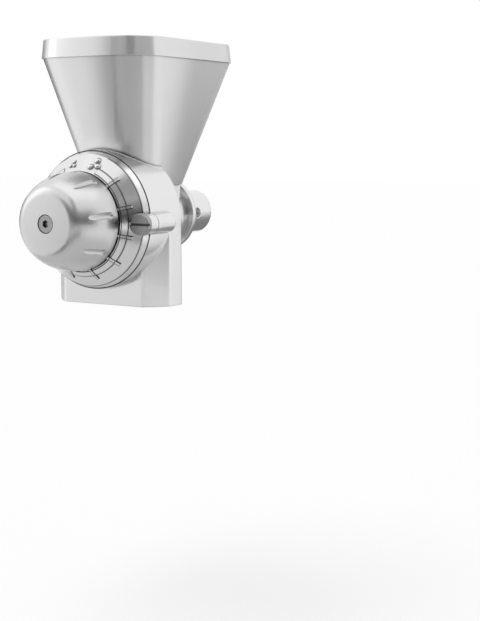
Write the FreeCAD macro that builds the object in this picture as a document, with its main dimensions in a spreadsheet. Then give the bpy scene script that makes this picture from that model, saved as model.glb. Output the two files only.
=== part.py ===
import FreeCAD, Part
import os
import Sketcher

# Grain mill that hangs on a mixer's power hub.
# Origin: on the shaft's axis at the hub spigot's shoulder. +Z up, +Y towards the hub, -Y towards the knob.

doc = FreeCAD.newDocument("grain_mill")

# Driving dimensions, in millimetres, degrees and counts
DRIVING = {
    # cast body: housing, chute, feed tube and spigot
    "feed_tube_length": 56.0,
    "housing_depth": 40.0,
    "housing_diameter": 101.0,
    "chamber_diameter": 88.0,
    "chamber_depth": 25.0,
    "chute_drop": 63.2,
    "chute_setback": 10.2,
    "chute_front_width": 72.0,
    "chute_flare_depth": 14.0,
    "chute_side_inset": 0.3,
    "chute_wall": 3.2,
    "chute_ceiling_drop": 30.0,
    "chute_corner_radius": 5.0,
    "feed_bore_diameter": 38.0,
    "feed_tube_diameter": 47.0,
    "feed_end_wall": 6.0,
    "shoulder_diameter": 56.0,
    "shoulder_thickness": 4.5,
    "spigot_diameter": 34.5,
    "spigot_length": 40.0,
    "bearing_seat_diameter": 22.0,
    "boss_diameter": 14.8,
    "boss_offset": 50.0,
    "boss_drop": 1.1,
    "boss_length": 27.0,
    "boss_nose_length": 5.5,
    "boss_nose_taper": -38.0,
    "collar_height": 24.0,
    "collar_inset": 1.5,
    "throat_width": 32.0,
    "throat_length": 28.0,
    "throat_corner_radius": 3.0,
    "throat_chamfer": 5.0,
    "saddle_lip_wall": 2.0,
    "saddle_lip_height": 0.5,
    "ramp_width": 34.0,
    "ramp_length": 20.0,
    "ramp_drop": 12.0,
    "lock_dimple_diameter": 8.0,
    "lock_dimple_depth": 3.0,
    "lock_dimple_offset": 20.0,
    # hopper
    "hopper_width": 100.4,
    "hopper_length": 138.2,
    "hopper_corner_radius": 26.0,
    "hopper_centre_setback": 60.4,
    "hopper_rim_level": 116.8,
    "hopper_foot_width": 59.8,
    "hopper_foot_length": 68.8,
    "hopper_foot_corner_radius": 23.0,
    "hopper_foot_setback": 54.7,
    "hopper_wall": 1.6,
    "rim_height": 13.8,
    "rim_overhang": 1.0,
    "rim_draft": 1.4,
    "foot_flange": 9.0,
    "rivet_diameter": 4.0,
    "rivet_head_diameter": 6.0,
    "rivet_head_height": 1.2,
    "rivet_length": 7.0,
    # front plate and dial
    "plate_diameter": 100.0,
    "plate_rim_depth": 5.5,
    "plate_rim_draft": 2.0,
    "plate_edge_wall": 2.8,
    "lug_depth": 9.4,
    "plate_face_depth": 17.0,
    "plate_face_diameter": 72.0,
    "plate_wall": 4.2,
    "plate_hub_diameter": 30.0,
    "plate_hub_depth": 11.0,
    "register_length": 3.0,
    "register_wall": 3.4,
    "dial_band_inner_diameter": 73.6,
    "dial_band_outer_diameter": 80.6,
    "dial_band_height": 0.5,
    "dial_band_span": 316.0,
    "tick_inner_diameter": 71.3,
    "tick_outer_diameter": 86.6,
    "tick_height": 1.0,
    "tick_span": 2.2,
    "tick_start": 45.0,
    "tick_sweep": 270.0,
    "tick_count": 10,
    "front_screw_head_diameter": 15.7,
    "front_screw_head_height": 4.6,
    "front_screw_edge": 0.8,
    "front_screw_diameter": 6.0,
    "front_screw_length": 28.0,
    "front_screw_slot_width": 1.8,
    "front_screw_slot_depth": 2.2,
    "spot_face_margin": 0.7,
    # adjusting knob
    "knob_diameter": 71.0,
    "knob_gap": 1.4,
    "knob_depth": 37.2,
    "knob_skirt": 3.8,
    "knob_crown_radius": 53.0,
    "knob_face_sag": 1.1,
    "knob_edge_radius": 10.0,
    "knob_wall": 4.0,
    "knob_roof": 10.0,
    "knob_hub_diameter": 33.0,
    "knob_hub_pocket_depth": 9.0,
    "knob_web": 6.4,
    "knob_screw_head_diameter": 13.0,
    "knob_screw_head_height": 3.0,
    "knob_screw_recess": 0.4,
    "knob_screw_diameter": 6.0,
    "knob_screw_length": 20.0,
    "knob_screw_edge": 0.6,
    "knob_screw_socket": 5.0,
    "knob_screw_socket_depth": 2.2,
    "flute_count": 8,
    "flute_diameter": 5.2,
    "flute_rear_gap": 5.6,
    "flute_length": 27.0,
    "flute_tilt": 11.0,
    "flute_depth": 1.7,
    "flute_start": 9.0,
    "stem_diameter": 12.0,
    "plate_bush_diameter": 18.0,
    "plate_bush_nose_diameter": 20.0,
    "plate_bush_nose_length": 8.0,
    "friction_ring_section": 4.0,
    "friction_ring_setback": 3.0,
    "ball_diameter": 9.5,
    "ball_lead": 1.0,
    "nose_gap": 4.0,
    # burrs
    "burr_diameter": 72.0,
    "burr_thickness": 8.0,
    "burr_gap": 0.5,
    "burr_eye_diameter": 38.4,
    "burr_dish_diameter": 39.0,
    "burr_dish_depth": 2.4,
    "furrow_width": 2.2,
    "furrow_depth": 1.3,
    "furrow_offset": 6.0,
    "furrow_count": 14,
    "burr_screw_circle_diameter": 56.0,
    "burr_screw_diameter": 4.0,
    "burr_screw_head_diameter": 8.0,
    "burr_screw_recess": 1.6,
    "burr_screw_head_height": 2.2,
    "burr_screw_length": 13.0,
    "burr_screw_count": 3,
    "drive_pin_diameter": 4.0,
    "drive_pin_length": 26.0,
    "drive_pin_inset": 1.2,
    # shaft line
    "shaft_diameter": 12.0,
    "journal_diameter": 16.0,
    "shaft_collar_diameter": 22.0,
    "shaft_collar_width": 4.0,
    "shaft_collar_gap": 2.0,
    "seal_width": 3.0,
    "seal_lip_width": 1.2,
    "seal_lip_diameter": 20.0,
    "running_fit": 0.04,
    "seat_fit": 0.05,
    "worm_diameter": 36.6,
    "worm_core_diameter": 19.0,
    "worm_pitch": 18.0,
    "worm_turns": 2.7,
    "worm_flight_root": 5.0,
    "worm_flight_tip": 2.6,
    "worm_length": 55.0,
    "key_width": 4.0,
    "key_length": 16.0,
    "key_shaft_depth": 2.0,
    "ring_gap": 2.2,
    "ring_width": 1.2,
    "ring_diameter": 21.0,
    "ring_groove_depth": 0.8,
    "ring_mouth": 9.0,
    "square_width": 9.8,
    "square_length": 15.0,
    "square_lead": 1.6,
    "locating_pin_diameter": 4.0,
    "locating_pin_length": 9.0,
    "locating_pin_proud": 5.0,
    "locating_pin_offset": 24.0,
}

# Values that follow from the driving dimensions
DERIVED = {
    "housing_radius": "housing_diameter / 2",
    "arch_y": "-feed_tube_length",
    "seam_y": "arch_y - housing_depth",
    "chamber_radius": "chamber_diameter / 2",
    "chamber_end_y": "seam_y + chamber_depth",
    "chute_front_y": "seam_y + chute_setback",
    "chute_flare_y": "chute_front_y + chute_flare_depth",
    "chute_front_half": "chute_front_width / 2",
    "chute_half": "housing_radius - chute_side_inset",
    "chute_facet_run": "chute_half - chute_front_half",
    "chute_facet_length": "sqrt(chute_facet_run ^ 2 + chute_flare_depth ^ 2)",
    "chute_front_cut": "chute_corner_radius * (chute_facet_length - chute_facet_run) / chute_flare_depth",
    "chute_side_cut": "chute_corner_radius * (chute_facet_length - chute_flare_depth) / chute_facet_run",
    "chute_front_in_x": "chute_front_half - chute_front_cut",
    "chute_front_out_x": "chute_front_half + chute_front_cut * chute_facet_run / chute_facet_length",
    "chute_front_out_y": "chute_front_y + chute_front_cut * chute_flare_depth / chute_facet_length",
    "chute_side_in_x": "chute_half - chute_side_cut * chute_facet_run / chute_facet_length",
    "chute_side_in_y": "chute_flare_y - chute_side_cut * chute_flare_depth / chute_facet_length",
    "chute_side_out_y": "chute_flare_y + chute_side_cut",
    "chute_inner_front_half": "chute_front_half - chute_wall / 2",
    "chute_inner_flare_y": "chute_flare_y + chute_wall / 2",
    "chute_hollow_height": "chute_drop - chute_ceiling_drop",
    "feed_bore_radius": "feed_bore_diameter / 2",
    "feed_tube_radius": "feed_tube_diameter / 2",
    "shoulder_radius": "shoulder_diameter / 2",
    "spigot_radius": "spigot_diameter / 2",
    "bearing_seat_radius": "bearing_seat_diameter / 2",
    "boss_radius": "boss_diameter / 2",
    "boss_nose_y": "seam_y + boss_length - boss_nose_length",
    "lock_dimple_radius": "lock_dimple_diameter / 2",
    "lip_radius": "housing_radius + saddle_lip_height",
    "clear_of_all": "hopper_length * 2",
    "trim_length": "housing_depth + hopper_length",
    "ramp_half": "ramp_width / 2",
    "ramp_front_y": "arch_y - ramp_length",
    "hopper_half_width": "hopper_width / 2",
    "hopper_half_length": "hopper_length / 2",
    "hopper_centre_y": "seam_y + hopper_centre_setback",
    "foot_half_width": "hopper_foot_width / 2",
    "foot_half_length": "hopper_foot_length / 2",
    "foot_centre_y": "seam_y + hopper_foot_setback",
    "foot_rear_y": "foot_centre_y + foot_half_length",
    "foot_inner_half": "foot_half_width - foot_flange",
    "foot_inner_rear_y": "foot_rear_y - foot_flange",
    "foot_inner_front_y": "arch_y + saddle_lip_wall",
    "rim_top_level": "hopper_rim_level + rim_height",
    "collar_half": "foot_half_width - collar_inset",
    "collar_rear_y": "foot_rear_y - collar_inset",
    "collar_corner_radius": "hopper_foot_corner_radius - collar_inset",
    "throat_half": "throat_width / 2",
    "throat_front_y": "foot_inner_front_y + throat_chamfer",
    "throat_half_length": "throat_length / 2",
    "throat_centre_y": "throat_front_y + throat_half_length",
    "rivet_radius": "rivet_diameter / 2",
    "rivet_head_radius": "rivet_head_diameter / 2",
    "rivet_x": "foot_half_width - (foot_flange + hopper_wall) / 2",
    "rivet_hole_radius": "rivet_radius + seat_fit",
    "rivet_front_y": "throat_front_y + throat_length / 4",
    "rivet_pitch": "throat_length / 2",
    "rivet_foot_level": "collar_height - rivet_length",
    "hopper_floor_level": "collar_height + hopper_wall",
    "plate_radius": "plate_diameter / 2",
    "rim_front_radius": "plate_radius - plate_rim_draft",
    "plate_rim_y": "seam_y - plate_rim_depth",
    "lug_y": "seam_y - lug_depth",
    "plate_face_radius": "plate_face_diameter / 2",
    "plate_face_y": "seam_y - plate_face_depth",
    "plate_hub_radius": "plate_hub_diameter / 2",
    "plate_hub_y": "plate_face_y + plate_hub_depth",
    "plate_slope": "(plate_face_depth - plate_rim_depth) / (rim_front_radius - plate_face_radius)",
    "register_radius": "chamber_radius - seat_fit * 2",
    "register_inner_radius": "register_radius - register_wall",
    "plate_edge_y": "plate_rim_y - (rim_front_radius - register_inner_radius) * plate_slope",
    "plate_back_rim_y": "plate_edge_y + plate_edge_wall",
    "plate_back_y": "plate_face_y + plate_wall",
    "band_inner_radius": "dial_band_inner_diameter / 2",
    "band_outer_radius": "dial_band_outer_diameter / 2",
    "band_inner_y": "plate_rim_y - (rim_front_radius - band_inner_radius) * plate_slope",
    "band_outer_y": "plate_rim_y - (rim_front_radius - band_outer_radius) * plate_slope",
    "tick_inner_radius": "tick_inner_diameter / 2",
    "tick_outer_radius": "tick_outer_diameter / 2",
    "tick_inner_y": "plate_rim_y - (rim_front_radius - tick_inner_radius) * plate_slope",
    "tick_outer_y": "plate_rim_y - (rim_front_radius - tick_outer_radius) * plate_slope",
    "mark_root": "tick_height",
    "tick_turn": "-tick_start",
    "spot_face_radius": "front_screw_head_diameter / 2 + spot_face_margin",
    "screw_head_radius": "front_screw_head_diameter / 2",
    "screw_head_y": "lug_y - front_screw_head_height",
    "screw_radius": "front_screw_diameter / 2",
    "screw_hole_radius": "screw_radius + seat_fit",
    "screw_clear_radius": "screw_radius + seat_fit * 6",
    "screw_end_y": "lug_y + front_screw_length",
    "screw_hole_depth": "front_screw_length - lug_depth + front_screw_edge * 2",
    "screw_slot_half": "front_screw_slot_width / 2",
    "knob_radius": "knob_diameter / 2",
    "knob_rear_y": "plate_face_y - knob_gap",
    "knob_skirt_y": "knob_rear_y - knob_skirt",
    "knob_face_y": "knob_rear_y - knob_depth",
    "knob_corner_y": "knob_face_y + knob_face_sag",
    "knob_crown_run": "knob_skirt_y - knob_corner_y",
    "knob_crown_depth": "sqrt(knob_crown_radius ^ 2 - knob_crown_run ^ 2)",
    "knob_corner_radius": "knob_radius - knob_crown_radius + knob_crown_depth",
    "knob_face_radius": "(knob_corner_radius ^ 2 + knob_face_sag ^ 2) / (2 * knob_face_sag)",
    "knob_cavity_radius": "knob_radius - knob_wall",
    "knob_cavity_end_y": "knob_face_y + knob_roof",
    "knob_cavity_crown_radius": "knob_crown_radius - knob_wall",
    "knob_cavity_run": "knob_skirt_y - knob_cavity_end_y",
    "knob_cavity_depth": "sqrt(knob_cavity_crown_radius ^ 2 - knob_cavity_run ^ 2)",
    "knob_cavity_end_radius": "knob_radius - knob_crown_radius + knob_cavity_depth",
    "knob_hub_radius": "knob_hub_diameter / 2",
    "knob_pocket_radius": "(plate_bush_nose_diameter + friction_ring_section) / 2 + seat_fit * 2",
    "knob_pocket_y": "knob_rear_y - knob_hub_pocket_depth",
    "knob_recess_radius": "knob_screw_head_diameter / 2 + seat_fit * 4",
    "knob_seat_y": "knob_face_y + knob_screw_head_height + knob_screw_recess",
    "stem_front_y": "knob_seat_y + knob_web",
    "stem_radius": "stem_diameter / 2",
    "stem_bore_radius": "stem_radius + seat_fit",
    "knob_screw_radius": "knob_screw_diameter / 2",
    "knob_screw_hole_radius": "knob_screw_radius + seat_fit * 4",
    "knob_screw_head_radius": "knob_screw_head_diameter / 2",
    "knob_screw_front_y": "knob_seat_y - knob_screw_head_height",
    "knob_screw_end_y": "knob_seat_y + knob_screw_length",
    "knob_screw_hole_end_y": "knob_screw_end_y + knob_screw_recess * 3",
    "knob_screw_core_radius": "knob_screw_radius + seat_fit",
    "socket_half": "knob_screw_socket / 2",
    "socket_corner": "knob_screw_socket / sqrt(3)",
    "socket_shoulder": "socket_corner / 2",
    "socket_bottom_y": "knob_screw_front_y + knob_screw_socket_depth",
    "flute_radius": "flute_diameter / 2",
    "flute_rear_y": "knob_rear_y - flute_rear_gap - flute_radius",
    "flute_axis_radius": "knob_radius + flute_radius - flute_depth",
    "flute_front_y": "flute_rear_y - flute_length * cos(flute_tilt)",
    "flute_front_axis": "flute_axis_radius - flute_length * sin(flute_tilt)",
    "flute_side_x": "flute_axis_radius - flute_radius * cos(flute_tilt)",
    "flute_side_y": "flute_rear_y + flute_radius * sin(flute_tilt)",
    "flute_front_side_x": "flute_front_axis - flute_radius * cos(flute_tilt)",
    "flute_front_side_y": "flute_front_y + flute_radius * sin(flute_tilt)",
    "flute_end_x": "flute_axis_radius + flute_radius * sin(flute_tilt)",
    "flute_end_y": "flute_rear_y + flute_radius * cos(flute_tilt)",
    "flute_turn": "-flute_start",
    "plate_bush_radius": "plate_bush_diameter / 2",
    "plate_bush_nose_radius": "plate_bush_nose_diameter / 2",
    "plate_bore_radius": "plate_bush_radius + seat_fit",
    "plate_bush_front_y": "plate_face_y - plate_bush_nose_length",
    "thread_bore_radius": "stem_radius + seat_fit",
    "ring_section_radius": "friction_ring_section / 2",
    "friction_groove_radius": "plate_bush_nose_radius - ring_section_radius",
    "friction_ring_y": "plate_bush_front_y + friction_ring_setback + ring_section_radius",
    "friction_groove_front_y": "friction_ring_y - ring_section_radius - seat_fit",
    "friction_groove_rear_y": "friction_ring_y + ring_section_radius + seat_fit",
    "friction_ring_radius": "friction_groove_radius + ring_section_radius + seat_fit",
    "ball_radius": "ball_diameter / 2",
    "ball_y": "seam_y - ball_lead",
    "ball_seat_radius": "ball_radius + seat_fit",
    "stem_rear_y": "ball_y - nose_gap / 2",
    "nose_y": "ball_y + nose_gap / 2",
    "burr_radius": "burr_diameter / 2",
    "burr_eye_radius": "burr_eye_diameter / 2",
    "burr_dish_radius": "burr_dish_diameter / 2",
    "fixed_burr_face_y": "chamber_end_y - burr_thickness",
    "turning_burr_face_y": "fixed_burr_face_y - burr_gap",
    "turning_burr_front_y": "turning_burr_face_y - burr_thickness",
    "burr_dish_y": "turning_burr_face_y - burr_dish_depth",
    "furrow_inner": "burr_eye_radius - furrow_offset",
    "furrow_outer": "burr_radius + furrow_width",
    "furrow_top": "furrow_offset + furrow_width",
    "burr_screw_circle_radius": "burr_screw_circle_diameter / 2",
    "burr_screw_radius": "burr_screw_diameter / 2",
    "burr_screw_head_radius": "burr_screw_head_diameter / 2",
    "burr_screw_head_y": "fixed_burr_face_y + burr_screw_recess",
    "burr_screw_neck_y": "burr_screw_head_y + burr_screw_head_height",
    "burr_screw_end_y": "burr_screw_head_y + burr_screw_length",
    "burr_screw_hole_end_y": "burr_screw_end_y + burr_screw_recess",
    "burr_screw_hole_radius": "burr_screw_radius + seat_fit",
    "burr_screw_bore_radius": "burr_screw_head_radius + seat_fit * 2",
    "pin_radius": "drive_pin_diameter / 2",
    "pin_half": "drive_pin_length / 2",
    "pin_y": "turning_burr_front_y + drive_pin_inset",
    "pin_slot_half": "pin_radius + seat_fit * 2",
    "pin_slot_depth": "drive_pin_inset + pin_radius",
    "pin_hole_radius": "pin_radius + seat_fit",
    "pin_slot_rear_y": "turning_burr_front_y + pin_slot_depth",
    "pin_slot_side": "pin_half + seat_fit * 6",
    "shaft_radius": "shaft_diameter / 2",
    "shaft_bore_radius": "shaft_radius + seat_fit",
    "journal_radius": "journal_diameter / 2",
    "bush_bore_radius": "journal_radius + running_fit",
    "feed_end_y": "-feed_end_wall",
    "collar_end_y": "feed_end_y - shaft_collar_gap",
    "collar_front_y": "collar_end_y - shaft_collar_width",
    "shaft_collar_radius": "shaft_collar_diameter / 2",
    "seal_lip_radius": "seal_lip_diameter / 2",
    "seal_front_y": "feed_end_y + seal_lip_width",
    "bearing_radius": "bearing_seat_radius - seat_fit",
    "seal_rear_y": "seal_front_y + seal_width",
    "ring_front_y": "spigot_length + ring_gap",
    "ring_rear_y": "ring_front_y + ring_width",
    "ring_groove_radius": "journal_radius - ring_groove_depth",
    "ring_bore_radius": "ring_groove_radius + seat_fit",
    "ring_radius": "ring_diameter / 2",
    "ring_mouth_half": "ring_mouth / 2",
    "ring_groove_front_y": "ring_front_y - seat_fit",
    "ring_groove_rear_y": "ring_rear_y + seat_fit",
    "journal_end_y": "ring_rear_y + ring_width",
    "square_half": "square_width / 2",
    "square_end_y": "journal_end_y + square_length",
    "worm_radius": "worm_diameter / 2",
    "worm_core_radius": "worm_core_diameter / 2",
    "worm_rear_y": "collar_front_y",
    "worm_front_y": "worm_rear_y - worm_length",
    "worm_flight_height": "worm_pitch * worm_turns",
    "worm_flight_seat": "worm_core_radius - key_shaft_depth / 2",
    "flight_root_half": "worm_flight_root / 2",
    "flight_tip_half": "worm_flight_tip / 2",
    "flight_start_y": "worm_front_y + (worm_length - worm_flight_height) / 2",
    "key_half": "key_width / 2",
    "key_floor": "shaft_radius - key_shaft_depth",
    "key_top": "key_floor + key_width",
    "key_front_y": "worm_front_y + (worm_length - key_length) / 2",
    "key_rear_y": "key_front_y + key_length",
    "key_slot_half": "key_half + seat_fit",
    "key_slot_top": "key_top + seat_fit",
    "locating_pin_radius": "locating_pin_diameter / 2",
    "locating_hole_radius": "locating_pin_radius + seat_fit",
    "locating_hole_depth": "locating_pin_length - locating_pin_proud",
}

sheet = doc.addObject("Spreadsheet::Sheet", "sizes")
row = 0
for alias, entry in list(DRIVING.items()) + list(DERIVED.items()):
    row += 1
    sheet.set("A%d" % row, alias)
    sheet.set("B%d" % row, "=" + entry if alias in DERIVED else str(entry))
    sheet.setAlias("B%d" % row, alias)
doc.recompute()


# Reading sizes and drawing sketches

def number(text):
    """Value of a sum of sizes such as 'seam_y - plate_rim_depth'; '0' is the axis."""
    total = 0.0
    sign = 1.0
    for word in text.split():
        if word in ("+", "-"):
            sign = 1.0 if word == "+" else -1.0
        elif word != "0":
            total += sign * float(sheet.get(word))
    return total


def formula(text):
    """The same sum as an expression on the sheet."""
    return " ".join(word if word in ("+", "-", "0") else "sizes." + word for word in text.split())


def flip(text):
    """The sum with its inner signs reversed, to stand after a minus."""
    return " ".join({"+": "-", "-": "+"}.get(word, word) for word in text.split())


def new_body(name):
    body = doc.addObject("PartDesign::Body", name)
    body.Label = name
    body.AllowCompound = True
    return body


def origin_part(body, role):
    return [item for item in body.Origin.OriginFeatures if item.Role == role][0]


def new_sketch(body, role, offset=None, turn=None):
    """A sketch on one of the body's own planes, shifted along its normal or turned about its vertical."""
    sketch = body.newObject("Sketcher::SketchObject", body.Name + "_outline")
    sketch.AttachmentSupport = [(origin_part(body, role), "")]
    sketch.MapMode = "FlatFace"
    if turn:
        upright = FreeCAD.Rotation(FreeCAD.Vector(0, 1, 0), number(turn))
        sketch.AttachmentOffset = FreeCAD.Placement(FreeCAD.Vector(), upright)
    if offset:
        sketch.setExpression("AttachmentOffset.Base.z", offset)
    return sketch


def pin_point(sketch, geometry, end, place):
    """Tie a point of the sketch to its two sizes."""
    for kind, axis, text in (("DistanceX", -2, place[0]), ("DistanceY", -1, place[1])):
        if text == "0":
            sketch.addConstraint(Sketcher.Constraint("PointOnObject", geometry, end, axis))
            continue
        index = sketch.addConstraint(Sketcher.Constraint(kind, -1, 1, geometry, end, number(text)))
        sketch.setExpression("Constraints[%d]" % index, formula(text))


def bind_radius(sketch, geometry, name):
    index = sketch.addConstraint(Sketcher.Constraint("Radius", geometry, number(name)))
    sketch.setExpression("Constraints[%d]" % index, formula(name))


def draw_loop(sketch, places, arcs=None):
    """A closed outline; arcs maps an edge's index to its radius and the side its centre lies on."""
    arcs = arcs or {}
    points = [FreeCAD.Vector(number(x), number(y), 0) for x, y in places]
    edges = []
    for index, start in enumerate(points):
        stop = points[(index + 1) % len(points)]
        if index not in arcs:
            edges.append((sketch.addGeometry(Part.LineSegment(start, stop)), 1, 2))
            continue
        name, side = arcs[index]
        radius = number(name)
        chord = stop - start
        across = FreeCAD.Vector(-chord.y, chord.x, 0).normalize()
        rise = max(radius ** 2 - (chord.Length / 2) ** 2, 0) ** 0.5
        centre = (start + stop) / 2 + across * rise * side
        bulge = centre + (start + stop - centre * 2).normalize() * radius
        arc = Part.Arc(start, bulge, stop)
        geometry = sketch.addGeometry(arc)
        along = sketch.getPoint(geometry, 1).distanceToPoint(start) < radius / 1000
        edges.append((geometry, 1, 2) if along else (geometry, 2, 1))
        bind_radius(sketch, geometry, name)
    for index, (geometry, first, last) in enumerate(edges):
        following, next_first, _ = edges[(index + 1) % len(edges)]
        sketch.addConstraint(Sketcher.Constraint("Coincident", geometry, last, following, next_first))
        pin_point(sketch, geometry, first, places[index])


def draw_box(sketch, left, right, low, high):
    draw_loop(sketch, [(left, low), (right, low), (right, high), (left, high)])


def draw_circle(sketch, across, up, radius):
    centre = FreeCAD.Vector(number(across), number(up), 0)
    geometry = sketch.addGeometry(Part.Circle(centre, FreeCAD.Vector(0, 0, 1), number(radius)))
    bind_radius(sketch, geometry, radius)
    pin_point(sketch, geometry, 3, (across, up))


def draw_round_box(sketch, half_width, half_length, centre_y, radius):
    """A rectangle with equal round corners, centred on the middle plane."""
    less = " - " + flip(radius)
    more = " + " + radius
    left = "- " + flip(half_width)
    front = centre_y + " - " + flip(half_length)
    rear = centre_y + " + " + half_length
    places = [
        (left + more, front), (half_width + less, front), (half_width, front + more),
        (half_width, rear + less),
        (half_width + less, rear), (left + more, rear), (left, rear + less), (left, front + more),
    ]
    draw_loop(sketch, places, {index: (radius, 1) for index in (1, 3, 5, 7)})


# Features

def add_feature(body, kind, sketch, **settings):
    feature = body.newObject("PartDesign::" + kind, body.Name + "_" + kind.lower())
    feature.Profile = sketch
    feature.Refine = False
    for name, setting in settings.items():
        setattr(feature, name, setting)
    sketch.Visibility = False
    body.Tip = feature
    doc.recompute()
    return feature


def turn_profile(body, places, arcs=None, cut=False):
    """Revolve an outline of (radius, Y) points about the shaft's axis, or cut it away."""
    sketch = new_sketch(body, "XY_Plane")
    draw_loop(sketch, places, arcs)
    return add_feature(body, "Groove" if cut else "Revolution", sketch, ReferenceAxis=(sketch, ["V_Axis"]))


def raise_outline(body, draw, bottom, height, cut=False):
    """Extrude a plan outline upwards from the level called bottom, or cut it away."""
    sketch = new_sketch(body, "XY_Plane", formula(bottom))
    draw(sketch)
    feature = add_feature(body, "Pocket" if cut else "Pad", sketch, Reversed=cut)
    feature.setExpression("Length", formula(height))
    doc.recompute()
    return feature


def push_outline(body, draw, rear, length, cut=False):
    """Extrude a front-view outline forwards, towards -Y, from its rear plane, or cut it away."""
    sketch = new_sketch(body, "XZ_Plane", "-(" + formula(rear) + ")")
    draw(sketch)
    feature = add_feature(body, "Pocket" if cut else "Pad", sketch, Reversed=cut)
    feature.setExpression("Length", formula(length))
    doc.recompute()
    return feature


def span_outline(body, draw, half_width, cut=False):
    """Extrude a side-view outline equally to both sides of the middle plane, or cut it away."""
    sketch = new_sketch(body, "YZ_Plane")
    draw(sketch)
    feature = add_feature(body, "Pocket" if cut else "Pad", sketch, Midplane=True)
    feature.setExpression("Length", "2 * " + formula(half_width))
    doc.recompute()
    return feature


def loft_boxes(body, sections, cut=False):
    """A straight-sided loft between rounded boxes: (level, half width, half length, centre, radius)."""
    sketches = []
    for level, half_width, half_length, centre, radius in sections:
        sketch = new_sketch(body, "XY_Plane", formula(level))
        draw_round_box(sketch, half_width, half_length, centre, radius)
        sketch.Visibility = False
        sketches.append(sketch)
    kind = "SubtractiveLoft" if cut else "AdditiveLoft"
    return add_feature(body, kind, sketches[0], Sections=sketches[1:], Ruled=True)


def repeat_round(body, features, count, sweep=None):
    """Copies of features round the shaft's axis: a full ring, or a fan over the sweep."""
    pattern = body.newObject("PartDesign::PolarPattern", body.Name + "_ring")
    pattern.Originals = features
    pattern.Refine = False
    pattern.Axis = (origin_part(body, "Y_Axis"), [""])
    pattern.setExpression("Occurrences", formula(count))
    if sweep:
        pattern.setExpression("Angle", formula(sweep))
    body.Tip = pattern
    doc.recompute()
    return pattern


def mirror_across(body, features):
    """Copies of features on the other side of the middle plane."""
    mirrored = body.newObject("PartDesign::Mirrored", body.Name + "_mirror")
    mirrored.Originals = features
    mirrored.Refine = False
    mirrored.MirrorPlane = (origin_part(body, "YZ_Plane"), [""])
    body.Tip = mirrored
    doc.recompute()
    return mirrored


def soften(body, kind, size, chosen):
    """Round or bevel the edges of the body for which chosen(edge) holds."""
    base = body.Tip
    names = ["Edge%d" % (place + 1) for place, edge in enumerate(base.Shape.Edges) if chosen(edge)]
    feature = body.newObject("PartDesign::" + kind, body.Name + "_" + kind.lower())
    feature.Base = (base, names)
    feature.setExpression("Radius" if kind == "Fillet" else "Size", formula(size))
    body.Tip = feature
    doc.recompute()
    return feature


NEAR = 0.01


def near(first, second):
    return abs(first - second) < NEAR


# Hopper form, shared by the hopper and the saddle that takes it

def hopper_form(grow=""):
    """Foot and rim sections of the funnel's outside, grown by a signed size."""
    foot = ("collar_height", "foot_half_width" + grow, "foot_half_length" + grow, "foot_centre_y",
            "hopper_foot_corner_radius")
    rim = ("hopper_rim_level", "hopper_half_width" + grow, "hopper_half_length" + grow, "hopper_centre_y",
           "hopper_corner_radius")
    return [foot, rim]


# Cast body: saddle lip, housing, chute, feed tube, collar, bosses and spigot

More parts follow.
